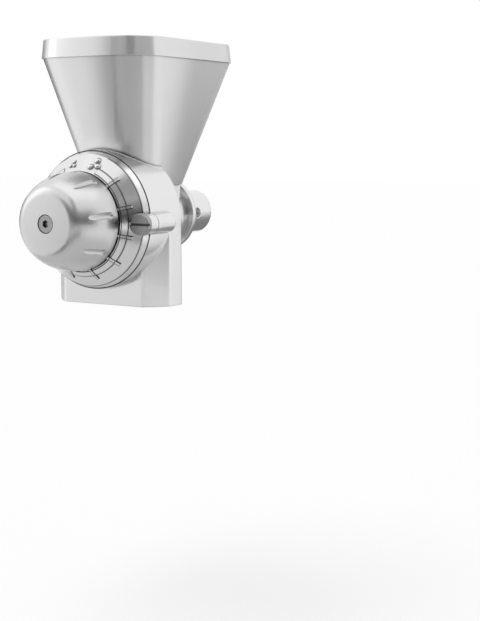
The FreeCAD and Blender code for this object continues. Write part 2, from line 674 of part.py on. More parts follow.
def make_mill_body():
    body = new_body("mill_body")
    loft_boxes(body, hopper_form(" + saddle_lip_wall"))
    turn_profile(body, [
        ("lip_radius", "seam_y - clear_of_all"), ("lip_radius + clear_of_all", "seam_y - clear_of_all"),
        ("lip_radius + clear_of_all", "clear_of_all"), ("lip_radius", "clear_of_all"),
    ], cut=True)
    push_outline(body, lambda sketch: draw_box(
        sketch, "- clear_of_all", "clear_of_all", "- clear_of_all", "clear_of_all"),
        "arch_y + clear_of_all", "clear_of_all", cut=True)
    loft_boxes(body, hopper_form(" + seat_fit"), cut=True)
    turn_profile(body, [
        ("0", "seam_y"), ("housing_radius", "seam_y"), ("housing_radius", "arch_y"),
        ("feed_tube_radius", "arch_y"), ("feed_tube_radius", "- shoulder_thickness"),
        ("shoulder_radius", "- shoulder_thickness"), ("shoulder_radius", "0"),
        ("spigot_radius", "0"), ("spigot_radius", "spigot_length"), ("0", "spigot_length"),
    ])
    raise_outline(body, lambda sketch: draw_loop(sketch, [
        ("- chute_front_in_x", "chute_front_y"), ("chute_front_in_x", "chute_front_y"),
        ("chute_front_out_x", "chute_front_out_y"), ("chute_side_in_x", "chute_side_in_y"),
        ("chute_half", "chute_side_out_y"), ("chute_half", "arch_y"), ("- chute_half", "arch_y"),
        ("- chute_half", "chute_side_out_y"), ("- chute_side_in_x", "chute_side_in_y"),
        ("- chute_front_out_x", "chute_front_out_y"),
    ], {edge: ("chute_corner_radius", 1) for edge in (1, 3, 7, 9)}), "- chute_drop", "chute_drop")
    raise_outline(body, lambda sketch: draw_loop(sketch, [
        ("- collar_half", "arch_y - ramp_drop"), ("collar_half", "arch_y - ramp_drop"),
        ("collar_half", "collar_rear_y - collar_corner_radius"),
        ("collar_half - collar_corner_radius", "collar_rear_y"),
        ("- collar_half + collar_corner_radius", "collar_rear_y"),
        ("- collar_half", "collar_rear_y - collar_corner_radius"),
    ], {2: ("collar_corner_radius", 1), 4: ("collar_corner_radius", 1)}), "0", "collar_height")
    for side in ("boss_offset", "- boss_offset"):
        push_outline(body, lambda sketch: draw_circle(sketch, side, "- boss_drop", "boss_radius"),
                     "boss_nose_y", "boss_nose_y - seam_y")
        nose = push_outline(body, lambda sketch: draw_circle(sketch, side, "- boss_drop", "boss_radius"),
                            "boss_nose_y", "boss_nose_length")
        nose.Reversed = True
        nose.setExpression("TaperAngle", formula("boss_nose_taper"))
        doc.recompute()
    turn_profile(body, [
        ("0", "seam_y"), ("chamber_radius", "seam_y"), ("chamber_radius", "chamber_end_y"),
        ("feed_bore_radius", "chamber_end_y"), ("feed_bore_radius", "feed_end_y"),
        ("seal_lip_radius", "feed_end_y"), ("seal_lip_radius", "seal_front_y"),
        ("bearing_seat_radius", "seal_front_y"), ("bearing_seat_radius", "spigot_length"),
        ("0", "spigot_length"),
    ], cut=True)
    raise_outline(body, lambda sketch: draw_loop(sketch, [
        ("- chute_inner_front_half", "chute_front_y + chute_wall"),
        ("chute_inner_front_half", "chute_front_y + chute_wall"),
        ("chute_half - chute_wall", "chute_inner_flare_y"),
        ("chute_half - chute_wall", "arch_y - chute_wall"),
        ("- chute_half + chute_wall", "arch_y - chute_wall"),
        ("- chute_half + chute_wall", "chute_inner_flare_y"),
    ]), "- chute_drop", "chute_hollow_height", cut=True)
    throat = ("throat_half", "throat_half_length", "throat_centre_y", "throat_corner_radius")
    raise_outline(body, lambda sketch: draw_round_box(sketch, *throat), "0", "collar_height", cut=True)
    loft_boxes(body, [
        ("collar_height - throat_chamfer",) + throat,
        ("collar_height", "throat_half + throat_chamfer", "throat_half_length + throat_chamfer",
         "throat_centre_y", "throat_corner_radius + throat_chamfer"),
    ], cut=True)
    span_outline(body, lambda sketch: draw_loop(sketch, [
        ("ramp_front_y", "housing_radius"), ("arch_y", "housing_radius - ramp_drop"),
        ("arch_y", "lip_radius"),
        ("ramp_front_y", "lip_radius"),
    ]), "ramp_half", cut=True)
    for side in ("boss_offset", "- boss_offset"):
        push_outline(body, lambda sketch: draw_circle(sketch, side, "- boss_drop", "screw_hole_radius"),
                     "seam_y + screw_hole_depth", "screw_hole_depth", cut=True)
    hole = push_outline(body, lambda sketch: draw_circle(
        sketch, "0", "burr_screw_circle_radius", "burr_screw_hole_radius"),
        "burr_screw_hole_end_y", "burr_screw_hole_end_y - chamber_end_y", cut=True)
    repeat_round(body, [hole], "burr_screw_count")
    for side in ("rivet_x", "- rivet_x"):
        for place in ("rivet_front_y", "rivet_front_y + rivet_pitch"):
            raise_outline(body, lambda sketch: draw_circle(sketch, side, place, "rivet_hole_radius"),
                          "rivet_foot_level", "rivet_length", cut=True)
    push_outline(body, lambda sketch: draw_circle(sketch, "0", "locating_pin_offset", "locating_hole_radius"),
                 "0", "locating_hole_depth", cut=True)
    sketch = new_sketch(body, "YZ_Plane", formula("spigot_radius - lock_dimple_depth"))
    draw_circle(sketch, "lock_dimple_offset", "0", "lock_dimple_radius")
    dimple = add_feature(body, "Pocket", sketch, Reversed=True)
    dimple.setExpression("Length", formula("lock_dimple_depth"))
    doc.recompute()
    return body


# Hopper: pressed funnel with a folded rim and a turned-in foot, trimmed to sit on the housing

def make_hopper():
    body = new_body("hopper")
    loft_boxes(body, hopper_form())
    low = ("hopper_rim_level", "hopper_half_width + rim_overhang", "hopper_half_length + rim_overhang",
           "hopper_centre_y", "hopper_corner_radius + rim_overhang")
    high = ("rim_top_level", "hopper_half_width + rim_overhang - rim_draft",
            "hopper_half_length + rim_overhang - rim_draft", "hopper_centre_y", "hopper_corner_radius")
    loft_boxes(body, [low, high])
    soften(body, "Fillet", "rim_overhang", lambda edge: near(edge.BoundBox.ZMin, number("rim_top_level")))
    foot, rim = hopper_form(" - hopper_wall")
    loft_boxes(body, [("hopper_floor_level",) + foot[1:], rim], cut=True)
    raise_outline(body, lambda sketch: draw_round_box(sketch, *rim[1:]),
                  "hopper_rim_level", "rim_height", cut=True)
    raise_outline(body, lambda sketch: draw_box(
        sketch, "- foot_inner_half", "foot_inner_half", "foot_inner_front_y", "foot_inner_rear_y"),
        "collar_height", "hopper_wall", cut=True)
    turn_profile(body, [
        ("0", "seam_y - trim_length"), ("housing_radius + seat_fit", "seam_y - trim_length"),
        ("housing_radius + seat_fit", "arch_y + seat_fit"), ("0", "arch_y + seat_fit"),
    ], cut=True)
    for side in ("rivet_x", "- rivet_x"):
        for place in ("rivet_front_y", "rivet_front_y + rivet_pitch"):
            raise_outline(body, lambda sketch: draw_circle(sketch, side, place, "rivet_hole_radius"),
                          "collar_height", "hopper_wall", cut=True)
    return body


def make_hopper_rivets():
    body = new_body("hopper_rivets")
    for side in ("rivet_x", "- rivet_x"):
        for place in ("rivet_front_y", "rivet_front_y + rivet_pitch"):
            raise_outline(body, lambda sketch: draw_circle(sketch, side, place, "rivet_radius"),
                          "rivet_foot_level", "rivet_length + hopper_wall")
            raise_outline(body, lambda sketch: draw_circle(sketch, side, place, "rivet_head_radius"),
                          "hopper_floor_level", "rivet_head_height")
    return body


# Front plate: dished cover with dial marks, register ring, hub and two lugs

def make_front_plate():
    body = new_body("front_plate")
    turn_profile(body, [
        ("plate_bore_radius", "plate_face_y"), ("plate_face_radius", "plate_face_y"),
        ("rim_front_radius", "plate_rim_y"), ("plate_radius", "seam_y"), ("register_radius", "seam_y"),
        ("register_radius", "seam_y + register_length"),
        ("register_inner_radius", "seam_y + register_length"),
        ("register_inner_radius", "plate_back_rim_y"), ("plate_face_radius", "plate_back_y"),
        ("plate_hub_radius", "plate_back_y"), ("plate_hub_radius", "plate_hub_y"),
        ("plate_bore_radius", "plate_hub_y"),
    ])
    sketch = new_sketch(body, "YZ_Plane")
    draw_loop(sketch, [
        ("band_inner_y + mark_root", "- band_inner_radius"),
        ("band_inner_y - dial_band_height", "- band_inner_radius"),
        ("band_outer_y - dial_band_height", "- band_outer_radius"),
        ("band_outer_y + mark_root", "- band_outer_radius"),
    ])
    band = add_feature(body, "Revolution", sketch, ReferenceAxis=(sketch, ["H_Axis"]), Midplane=True)
    band.setExpression("Angle", formula("dial_band_span"))
    doc.recompute()
    sketch = new_sketch(body, "XY_Plane", turn="tick_turn")
    draw_loop(sketch, [
        ("tick_inner_radius", "tick_inner_y + mark_root"),
        ("tick_inner_radius", "tick_inner_y - tick_height"),
        ("tick_outer_radius", "tick_outer_y - tick_height"),
        ("tick_outer_radius", "tick_outer_y + mark_root"),
    ])
    tick = add_feature(body, "Pad", sketch, Midplane=True)
    tick.setExpression("Length", formula("tick_span"))
    doc.recompute()
    repeat_round(body, [tick], "tick_count", "tick_sweep")
    for side in ("boss_offset", "- boss_offset"):
        push_outline(body, lambda sketch: draw_circle(sketch, side, "- boss_drop", "boss_radius"),
                     "seam_y", "lug_depth")
        push_outline(body, lambda sketch: draw_circle(sketch, side, "- boss_drop", "spot_face_radius"),
                     "lug_y", "plate_face_depth", cut=True)
        push_outline(body, lambda sketch: draw_circle(sketch, side, "- boss_drop", "screw_clear_radius"),
                     "seam_y", "lug_depth", cut=True)
    return body


def make_front_screws():
    body = new_body("front_screws")
    sketch = new_sketch(body, "XY_Plane", offset=formula("- boss_drop"))
    draw_loop(sketch, [
        ("boss_offset", "screw_head_y"),
        ("boss_offset + screw_head_radius - front_screw_edge", "screw_head_y"),
        ("boss_offset + screw_head_radius", "screw_head_y + front_screw_edge"),
        ("boss_offset + screw_head_radius", "lug_y"), ("boss_offset + screw_radius", "lug_y"),
        ("boss_offset + screw_radius", "screw_end_y"), ("boss_offset", "screw_end_y"),
    ], {1: ("front_screw_edge", 1)})
    turned = add_feature(body, "Revolution", sketch, ReferenceAxis=(sketch, ["Edge7"]))
    slot = push_outline(body, lambda sketch: draw_box(
        sketch, "boss_offset - front_screw_head_diameter", "boss_offset + front_screw_head_diameter",
        "- boss_drop - screw_slot_half", "- boss_drop + screw_slot_half"),
        "screw_head_y + front_screw_slot_depth", "front_screw_slot_depth", cut=True)
    mirror_across(body, [turned, slot])
    return body


# Adjusting knob: domed shell with a hub, finger flutes and a screwed-on stem

def make_knob():
    body = new_body("knob")
    turn_profile(body, [
        ("0", "knob_rear_y"), ("knob_radius", "knob_rear_y"), ("knob_radius", "knob_skirt_y"),
        ("knob_corner_radius", "knob_corner_y"), ("0", "knob_face_y"),
    ], {2: ("knob_crown_radius", -1), 3: ("knob_face_radius", -1)})
    corner_y = number("knob_corner_y")
    soften(body, "Fillet", "knob_edge_radius", lambda edge: (
        near(edge.BoundBox.YMin, corner_y) and near(edge.BoundBox.YMax, corner_y)))
    turn_profile(body, [
        ("knob_hub_radius", "knob_rear_y"), ("knob_cavity_radius", "knob_rear_y"),
        ("knob_cavity_radius", "knob_skirt_y"), ("knob_cavity_end_radius", "knob_cavity_end_y"),
        ("knob_hub_radius", "knob_cavity_end_y"),
    ], {2: ("knob_cavity_crown_radius", -1)}, cut=True)
    turn_profile(body, [
        ("0", "knob_rear_y"), ("knob_pocket_radius", "knob_rear_y"), ("knob_pocket_radius", "knob_pocket_y"),
        ("stem_bore_radius", "knob_pocket_y"), ("stem_bore_radius", "stem_front_y"),
        ("knob_screw_hole_radius", "stem_front_y"), ("knob_screw_hole_radius", "knob_seat_y"),
        ("knob_recess_radius", "knob_seat_y"), ("knob_recess_radius", "knob_face_y"), ("0", "knob_face_y"),
    ], cut=True)
    sketch = new_sketch(body, "XY_Plane", turn="flute_turn")
    draw_loop(sketch, [
        ("flute_end_x", "flute_end_y"), ("flute_side_x", "flute_side_y"),
        ("flute_front_side_x", "flute_front_side_y"), ("flute_front_axis", "flute_front_y"),
    ], {0: ("flute_radius", 1)})
    flute = add_feature(body, "Groove", sketch, ReferenceAxis=(sketch, ["Edge4"]))
    repeat_round(body, [flute], "flute_count")
    return body


def make_knob_screw():
    body = new_body("knob_screw")
    turn_profile(body, [
        ("0", "knob_screw_front_y"), ("knob_screw_head_radius - knob_screw_edge", "knob_screw_front_y"),
        ("knob_screw_head_radius", "knob_screw_front_y + knob_screw_edge"),
        ("knob_screw_head_radius", "knob_seat_y"),
        ("knob_screw_radius", "knob_seat_y"), ("knob_screw_radius", "knob_screw_end_y"),
        ("0", "knob_screw_end_y"),
    ], {1: ("knob_screw_edge", 1)})
    push_outline(body, lambda sketch: draw_loop(sketch, [
        ("socket_half", "- socket_shoulder"), ("socket_half", "socket_shoulder"), ("0", "socket_corner"),
        ("- socket_half", "socket_shoulder"), ("- socket_half", "- socket_shoulder"),
        ("0", "- socket_corner"),
    ]), "socket_bottom_y", "knob_screw_socket_depth", cut=True)
    return body


def make_adjusting_screw():
    body = new_body("adjusting_screw")
    turn_profile(body, [
        ("0", "stem_front_y"), ("stem_radius", "stem_front_y"), ("stem_radius", "stem_rear_y"),
        ("0", "stem_rear_y"),
    ])
    turn_profile(body, [
        ("0", "stem_front_y"), ("knob_screw_core_radius", "stem_front_y"),
        ("knob_screw_core_radius", "knob_screw_hole_end_y"), ("0", "knob_screw_hole_end_y"),
    ], cut=True)
    turn_ball(body, "ball_seat_radius", cut=True)
    return body


def turn_ball(body, radius, cut=False):
    """The thrust ball's sphere, or a seat for it."""
    return turn_profile(body, [("0", "ball_y - " + radius), (radius, "ball_y"), ("0", "ball_y + " + radius)],
                        {0: (radius, 1), 1: (radius, 1)}, cut)


def make_thrust_ball():
    body = new_body("thrust_ball")
    turn_ball(body, "ball_radius")
    return body


def make_plate_bush():
    body = new_body("plate_bush")
    turn_profile(body, [
        ("thread_bore_radius", "plate_bush_front_y"), ("plate_bush_nose_radius", "plate_bush_front_y"),
        ("plate_bush_nose_radius", "friction_groove_front_y"),
        ("friction_groove_radius", "friction_groove_front_y"),
        ("friction_groove_radius", "friction_groove_rear_y"),
        ("plate_bush_nose_radius", "friction_groove_rear_y"),
        ("plate_bush_nose_radius", "plate_face_y"), ("plate_bush_radius", "plate_face_y"),
        ("plate_bush_radius", "plate_hub_y"), ("thread_bore_radius", "plate_hub_y"),
    ])
    return body


def make_friction_ring():
    body = new_body("friction_ring")
    sketch = new_sketch(body, "XY_Plane")
    draw_circle(sketch, "friction_ring_radius", "friction_ring_y", "ring_section_radius")
    add_feature(body, "Revolution", sketch, ReferenceAxis=(sketch, ["V_Axis"]))
    return body


# Burrs: furrowed grinding faces, one fixed to the housing and one pinned to the shaft

def cut_furrows(body, rear):
    """Straight furrows set off from the radius, so that the two faces shear the grain outwards."""
    furrow = push_outline(body, lambda sketch: draw_box(
        sketch, "furrow_inner", "furrow_outer", "furrow_offset", "furrow_top"),
        rear, "furrow_depth", cut=True)
    repeat_round(body, [furrow], "furrow_count")


def make_stationary_burr():
    body = new_body("stationary_burr")
    turn_profile(body, [
        ("burr_eye_radius", "fixed_burr_face_y"), ("burr_radius", "fixed_burr_face_y"),
        ("burr_radius", "chamber_end_y"), ("burr_eye_radius", "chamber_end_y"),
    ])
    hole = push_outline(body, lambda sketch: draw_circle(
        sketch, "0", "burr_screw_circle_radius", "burr_screw_hole_radius"),
        "chamber_end_y", "burr_thickness", cut=True)
    recess = push_outline(body, lambda sketch: draw_circle(
        sketch, "0", "burr_screw_circle_radius", "burr_screw_bore_radius"),
        "burr_screw_neck_y", "burr_screw_recess + burr_screw_head_height", cut=True)
    repeat_round(body, [hole, recess], "burr_screw_count")
    cut_furrows(body, "fixed_burr_face_y + furrow_depth")
    return body


def make_stationary_burr_screws():
    body = new_body("stationary_burr_screws")
    shank = push_outline(body, lambda sketch: draw_circle(
        sketch, "0", "burr_screw_circle_radius", "burr_screw_radius"),
        "burr_screw_end_y", "burr_screw_length")
    head = push_outline(body, lambda sketch: draw_circle(
        sketch, "0", "burr_screw_circle_radius", "burr_screw_head_radius"),
        "burr_screw_neck_y", "burr_screw_head_height")
    repeat_round(body, [shank, head], "burr_screw_count")
    return body


def make_rotating_burr():
    body = new_body("rotating_burr")
    turn_profile(body, [
        ("shaft_bore_radius", "turning_burr_front_y"), ("burr_radius", "turning_burr_front_y"),
        ("burr_radius", "turning_burr_face_y"), ("burr_dish_radius", "turning_burr_face_y"),
        ("worm_core_radius", "burr_dish_y"), ("shaft_bore_radius", "burr_dish_y"),
    ])
    push_outline(body, lambda sketch: draw_box(
        sketch, "- pin_slot_side", "pin_slot_side", "- pin_slot_half", "pin_slot_half"),
        "pin_slot_rear_y", "pin_slot_depth", cut=True)
    cut_furrows(body, "turning_burr_face_y")
    return body


def make_burr_drive_pin():
    body = new_body("burr_drive_pin")
    span_outline(body, lambda sketch: draw_circle(sketch, "pin_y", "0", "pin_radius"), "pin_half")
    return body


# Shaft line: shaft, worm and key, with the bearing, seal and ring that carry the shaft in the spigot

def make_drive_shaft():
    body = new_body("drive_shaft")
    turn_profile(body, [
        ("0", "nose_y"), ("shaft_radius", "nose_y"), ("shaft_radius", "collar_front_y"),
        ("shaft_collar_radius", "collar_front_y"), ("shaft_collar_radius", "collar_end_y"),
        ("journal_radius", "collar_end_y"), ("journal_radius", "ring_groove_front_y"),
        ("ring_groove_radius", "ring_groove_front_y"), ("ring_groove_radius", "ring_groove_rear_y"),
        ("journal_radius", "ring_groove_rear_y"), ("journal_radius", "journal_end_y"), ("0", "journal_end_y"),
    ])
    push_outline(body, lambda sketch: draw_box(
        sketch, "- square_half", "square_half", "- square_half", "square_half"),
        "square_end_y", "square_length")
    soften(body, "Chamfer", "square_lead", lambda edge: near(edge.BoundBox.YMin, number("square_end_y")))
    turn_ball(body, "ball_seat_radius", cut=True)
    span_outline(body, lambda sketch: draw_circle(sketch, "pin_y", "0", "pin_hole_radius"),
                 "shaft_radius", cut=True)
    raise_outline(body, lambda sketch: draw_box(
        sketch, "- key_slot_half", "key_slot_half", "key_front_y - seat_fit", "key_rear_y + seat_fit"),
        "key_floor", "key_width", cut=True)
    return body


def make_feed_worm():
    body = new_body("feed_worm")
    turn_profile(body, [
        ("shaft_bore_radius", "worm_front_y"), ("worm_core_radius", "worm_front_y"),
        ("worm_core_radius", "worm_rear_y"), ("shaft_bore_radius", "worm_rear_y"),
    ])
    sketch = new_sketch(body, "XY_Plane")
    draw_loop(sketch, [
        ("worm_flight_seat", "flight_start_y - flight_root_half"),
        ("worm_radius", "flight_start_y - flight_tip_half"),
        ("worm_radius", "flight_start_y + flight_tip_half"),
        ("worm_flight_seat", "flight_start_y + flight_root_half"),
    ])
    flight = add_feature(body, "AdditiveHelix", sketch, ReferenceAxis=(sketch, ["V_Axis"]), Mode=0)
    flight.setExpression("Pitch", formula("worm_pitch"))
    flight.setExpression("Height", formula("worm_flight_height"))
    doc.recompute()
    raise_outline(body, lambda sketch: draw_box(
        sketch, "- key_slot_half", "key_slot_half", "worm_front_y", "worm_rear_y"),
        "0", "key_slot_top", cut=True)
    return body


def make_worm_key():
    body = new_body("worm_key")
    raise_outline(body, lambda sketch: draw_box(
        sketch, "- key_half", "key_half", "key_front_y", "key_rear_y"), "key_floor", "key_width")
    return body


def make_dust_seal():
    body = new_body("dust_seal")
    turn_profile(body, [
        ("bush_bore_radius", "seal_front_y"), ("bearing_radius", "seal_front_y"),
        ("bearing_radius", "seal_rear_y"), ("bush_bore_radius", "seal_rear_y"),
    ])
    return body


def make_spigot_bush():
    body = new_body("spigot_bush")
    turn_profile(body, [
        ("bush_bore_radius", "seal_rear_y"), ("bearing_radius", "seal_rear_y"),
        ("bearing_radius", "spigot_length"), ("bush_bore_radius", "spigot_length"),
    ])
    return body


def make_shaft_retaining_ring():
    body = new_body("shaft_retaining_ring")
    turn_profile(body, [
        ("ring_bore_radius", "ring_front_y"), ("ring_radius", "ring_front_y"),
        ("ring_radius", "ring_rear_y"), ("ring_bore_radius", "ring_rear_y"),
    ])
    push_outline(body, lambda sketch: draw_box(
        sketch, "- ring_mouth_half", "ring_mouth_half", "- ring_diameter", "0"),
        "ring_rear_y", "ring_width", cut=True)
    return body


def make_hub_locating_pin():
    body = new_body("hub_locating_pin")
    push_outline(body, lambda sketch: draw_circle(sketch, "0", "locating_pin_offset", "locating_pin_radius"),
                 "locating_pin_proud", "locating_pin_length")
    return body


# Build every piece, look for faults and write one file each

os.makedirs("parts", exist_ok=True)
pieces = [
    make_mill_body(), make_hopper(), make_hopper_rivets(), make_front_plate(), make_front_screws(),
    make_knob(), make_knob_screw(), make_adjusting_screw(), make_thrust_ball(), make_plate_bush(),
    make_friction_ring(), make_stationary_burr(), make_stationary_burr_screws(), make_rotating_burr(),
    make_burr_drive_pin(), make_drive_shaft(), make_feed_worm(), make_worm_key(), make_dust_seal(),
    make_spigot_bush(), make_shaft_retaining_ring(), make_hub_locating_pin(),
]
doc.recompute()
for item in doc.Objects:
    if "Invalid" in item.State or "Error" in item.State:
        raise RuntimeError(item.Label + " is " + ", ".join(item.State))
for piece in pieces:
    if piece.Shape.isNull() or not piece.Shape.isValid():
        raise RuntimeError(piece.Label + " has no valid shape")
    piece.Shape.exportStep("parts/" + piece.Label + ".step")
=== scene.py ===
import math

import bpy
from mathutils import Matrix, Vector


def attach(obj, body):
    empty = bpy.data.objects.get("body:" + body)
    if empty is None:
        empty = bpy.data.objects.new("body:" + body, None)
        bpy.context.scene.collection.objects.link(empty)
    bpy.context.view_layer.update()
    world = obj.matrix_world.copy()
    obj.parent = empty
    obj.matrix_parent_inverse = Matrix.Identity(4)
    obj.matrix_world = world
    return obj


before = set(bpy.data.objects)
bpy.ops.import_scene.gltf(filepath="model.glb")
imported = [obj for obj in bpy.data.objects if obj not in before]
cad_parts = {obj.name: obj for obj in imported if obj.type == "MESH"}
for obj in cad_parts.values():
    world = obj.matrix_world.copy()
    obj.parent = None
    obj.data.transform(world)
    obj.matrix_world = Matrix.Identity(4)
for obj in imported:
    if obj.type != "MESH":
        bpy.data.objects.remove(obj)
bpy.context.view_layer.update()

# Mill body: one aluminium casting with the housing, chute, screw bosses, feed tube and spigot.
# It is cast, machined where pieces seat, and satin-polished outside.
# The other pieces are fixed to it or carried by it.


def colour(code):
    """An sRGB hex code as a linear colour with full alpha."""
    parts = [int(code[place:place + 2], 16) / 255 for place in (1, 3, 5)]
    linear = [part / 12.92 if part <= 0.04045 else ((part + 0.055) / 1.055) ** 2.4 for part in parts]
    return linear + [1.0]


def add(tree, kind, settings=None, links=None):
    """One shader node: settings fill its sockets or properties, links join its inputs to other nodes."""
    node = tree.nodes.new("ShaderNode" + kind)
    for name, setting in (settings or {}).items():
        if isinstance(name, int) or name in node.inputs:
            node.inputs[name].default_value = setting
        else:
            setattr(node, name, setting)
    for name, source in (links or {}).items():
        tree.links.new(source, node.inputs[name])
    return node


def start_material(name):
    """A new material with an empty node tree."""
    material = bpy.data.materials.new(name)
    material.use_nodes = True
    material.node_tree.nodes.clear()
    return material


BLOTCH_MM = 18
RELIEF_DEPTH = 0.0001
# Painted crease shade: a metal's colour darkens where ambient occlusion within this reach finds the surface
# shut in.
CREASE_REACH = 0.0025
CREASE_SHUT, CREASE_OPEN = 0.55, 0.95
CRISP_EDGE = 0.0004
# The share of colour left in the darkest painted crease shade, for metals that set none of their own.
DEEP_CREASE = 0.08


def metal(name, code, roughness, spread, fleck_mm, bump, crease_shade=DEEP_CREASE, edge=CRISP_EDGE):
    """A bare metal with fine marks, sized in millimetres along X, Y and Z, in its roughness and relief.

    Its edges are shaded as rounded by the edge radius. Its creases darken with painted shade, to the crease
    shade's share of its colour.
    """
    material = start_material(name)
    tree = material.node_tree
    place = add(tree, "TexCoord").outputs["Object"]
    per_metre = [1000 / size for size in fleck_mm]
    fleck_place = add(tree, "Mapping", {"Scale": per_metre}, {"Vector": place}).outputs["Vector"]
    fleck = add(tree, "TexNoise", {"Scale": 1.0, "Detail": 3.0}, {"Vector": fleck_place}).outputs["Fac"]
    blotch = add(tree, "TexNoise", {"Scale": 1000 / BLOTCH_MM, "Detail": 2.0},
                 {"Vector": place}).outputs["Fac"]
    both = add(tree, "Math", {"operation": "MULTIPLY"}, {0: fleck, 1: blotch}).outputs[0]
    rough = add(tree, "MapRange",
                {"From Max": 0.5, "To Min": roughness - spread, "To Max": roughness + spread},
                {"Value": both}).outputs["Result"]
    rounded = add(tree, "Bevel", {"Radius": edge, "samples": 6}).outputs["Normal"]
    relief = add(tree, "Bump", {"Strength": bump, "Distance": RELIEF_DEPTH},
                 {"Height": fleck, "Normal": rounded}).outputs["Normal"]
    # Painted shade: the base colour darkens in creases and corners, where nearby surfaces shut out the sky.
    open_sky = add(tree, "AmbientOcclusion", {"Distance": CREASE_REACH, "samples": 16}).outputs["AO"]
    painted_crease_shade = add(tree, "MapRange",
                {"name": "Crease", "From Min": CREASE_SHUT, "From Max": CREASE_OPEN, "To Min": crease_shade},
                {"Value": open_sky}).outputs["Result"]
    tint = add(tree, "Mix",
               {"data_type": "RGBA", "blend_type": "MULTIPLY", "Factor": 1.0, 6: colour(code)}, {7: painted_crease_shade})
    surface = add(tree, "BsdfPrincipled", {"Metallic": 1.0},
                  {"Base Color": tint.outputs[2], "Roughness": rough, "Normal": relief})
    add(tree, "OutputMaterial", None, {"Surface": surface.outputs["BSDF"]})
    return material


def mark(material, mask, code):
    """Turn a metal's colour to another one where the mask is 1."""
    tree = material.node_tree
    surface = tree.nodes["Principled BSDF"]
    bare = surface.inputs["Base Color"].links[0].from_socket
    marked = add(tree, "Mix", {"data_type": "RGBA", 7: colour(code)}, {"Factor": mask, 6: bare})
    tree.links.new(marked.outputs[2], surface.inputs["Base Color"])


SHARP_ANGLE = math.radians(24)


def dress(node, material):
    """Give a CAD node its material, smooth its round faces and keep its crisp edges."""
    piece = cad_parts[node]
    piece.data.materials.clear()
    piece.data.materials.append(material)
    piece.data.shade_smooth()
    piece.data.set_sharp_from_angle(angle=SHARP_ANGLE)


# The polish leaves soft, clear reflections, with edges that look worn round and only a faint cloudiness.
# Its marks are far finer than a millimetre and are drawn at 1.2 mm, so that they show at all.
CAST_EDGE = 0.0012
cast = metal("Satin-polished cast aluminium", "#E6E6E6", roughness=0.21, spread=0.03,
             fleck_mm=(1.2, 1.2, 1.2), bump=0.01, crease_shade=0.7, edge=CAST_EDGE)
# A thin dark line is painted along the joint between body and front plate, as painted shade for the shadow
# in its narrow gap.
SEAM_Y, SEAM_HALF = -0.096, 0.00028
cast_tree = cast.node_tree
cast_place = add(cast_tree, "TexCoord").outputs["Object"]
cast_y = add(cast_tree, "SeparateXYZ", None, {"Vector": cast_place}).outputs["Y"]
seam_shade_line = add(cast_tree, "Math", {"operation": "COMPARE", 1: SEAM_Y, 2: SEAM_HALF}, {0: cast_y}).outputs[0]
mark(cast, seam_shade_line, "#3C3C3C")
dress("mill_body", cast)

# Hopper: a funnel of stainless sheet with a folded rim, pressed and then brushed along the sheet.
# Its turned-in foot sits on the collar of the feed tube.
FRONT_BOW, SIDE_BOW = 5.0, 4.0
BOW_MIDDLE = (-0.012, -0.055, 0)
BRUSH_STRETCH, BRUSH_TURN = 0.9, 0.25
# The brushing stretches each reflection into a broad upright band.
# Its lines are about 0.05 mm wide, and are drawn at 0.35 mm so that they show.
sheet = metal("Brushed stainless sheet", "#E2E2E2", roughness=0.33, spread=0.03,
              fleck_mm=(30.0, 30.0, 0.35), bump=0.10, crease_shade=0.45)
sheet_tree = sheet.node_tree
brushed = sheet_tree.nodes["Principled BSDF"]
brushed.inputs["Anisotropic"].default_value = BRUSH_STRETCH
brushed.inputs["Anisotropic Rotation"].default_value = BRUSH_TURN
along_sheet = add(sheet_tree, "Tangent", {"direction_type": "RADIAL", "axis": "Z"}).outputs["Tangent"]
sheet_tree.links.new(along_sheet, brushed.inputs["Tangent"])
# Pressed walls bow outwards, which the eye sees in how the bands spread.
# The shading leans out for it, by the bow for each metre from the middle.
sheet_place = add(sheet_tree, "TexCoord").outputs["Object"]
from_middle = add(sheet_tree, "VectorMath", {"operation": "SUBTRACT", 1: BOW_MIDDLE},
                  {0: sheet_place}).outputs[0]
lean = add(sheet_tree, "VectorMath", {"operation": "MULTIPLY", 1: (FRONT_BOW, SIDE_BOW, 0)},
           {0: from_middle}).outputs[0]
sheet_relief = brushed.inputs["Normal"].links[0].from_node
flat_wall = sheet_relief.inputs["Normal"].links[0].from_socket
leaning = add(sheet_tree, "VectorMath", {"operation": "ADD"}, {0: flat_wall, 1: lean}).outputs[0]
bowed_wall = add(sheet_tree, "VectorMath", {"operation": "NORMALIZE"}, {0: leaning}).outputs[0]
sheet_tree.links.new(bowed_wall, sheet_relief.inputs["Normal"])
dress("hopper", sheet)

# Hopper rivets: short lengths of aluminium wire through the hopper's foot and the collar.
# They are set cold and hold the hopper for good.
# Drawn wire looks a little dull and grey beside the polished casting.
rivet = metal("Drawn aluminium rivet wire", "#CFCFCF", roughness=0.36, spread=0.05,
              fleck_mm=(1.0, 1.0, 1.0), bump=0.05)
dress("hopper_rivets", rivet)

# Bushes: plain bearing sleeves of bronze, turned from bar.
# One is pressed into the spigot for the shaft and one into the front plate for the adjusting stem.
# Turning gives a warm brown gleam, with rings drawn at 0.3 mm along the axis so that they show.
bronze = metal("Machined bearing bronze", "#C9A35E", roughness=0.34, spread=0.06,
               fleck_mm=(1.0, 0.3, 1.0), bump=0.06)
for node in ("spigot_bush", "plate_bush"):
    dress(node, bronze)

